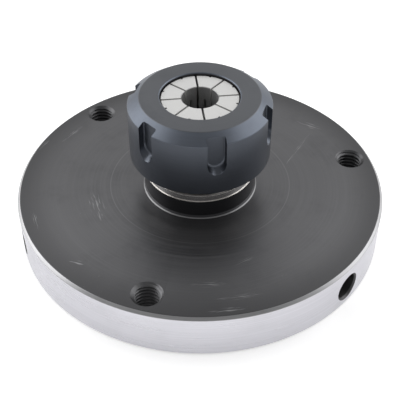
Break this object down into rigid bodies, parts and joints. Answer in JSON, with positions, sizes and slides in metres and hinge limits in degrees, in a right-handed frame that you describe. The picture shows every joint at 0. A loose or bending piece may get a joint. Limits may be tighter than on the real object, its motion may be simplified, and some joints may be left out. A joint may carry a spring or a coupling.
{
  "type": "collet chuck holder",
  "caption": "Flanged collet chuck holder: a thick round flange with a short nose, a slotted clamping nut and a split spring collet that grips a round shank.",
  "frame": {"origin": "centre of the flange's back face", "axes": "+Z along the spindle axis towards the nose, +X through the first tapped hole"},
  "size_m": [0.1332, 0.1332, 0.0559],
  "materials": {
    "blackened_flange_steel": "turned and black-oxidised, with the rim and a band of the nose left bright",
    "blackened_nut_steel": "smooth turned and black-oxidised, semi-gloss",
    "ground_collet_steel": "bright ground steel with dark saw cuts"
  },
  "bodies": {
    "chuck_body": {"chuck_body": "blackened_flange_steel"},
    "collet": {"collet": "ground_collet_steel"},
    "clamping_nut": {"clamping_nut": "blackened_nut_steel"}
  },
  "joints": [
    {"name": "collet_slide", "type": "slide", "parent": "chuck_body", "child": "collet", "axis": [0, 0, 1], "range_m": [0, 0.0105]},
    {"name": "nut_turn", "type": "hinge", "parent": "collet", "child": "clamping_nut", "pos_m": [0, 0, 0.0444], "axis": [0, 0, 1], "range_deg": [0, 2520]}
  ],
  "couplings": [
    {"joint": "nut_turn", "follows": "collet_slide", "rad_per_m": 4188.8}
  ]
}
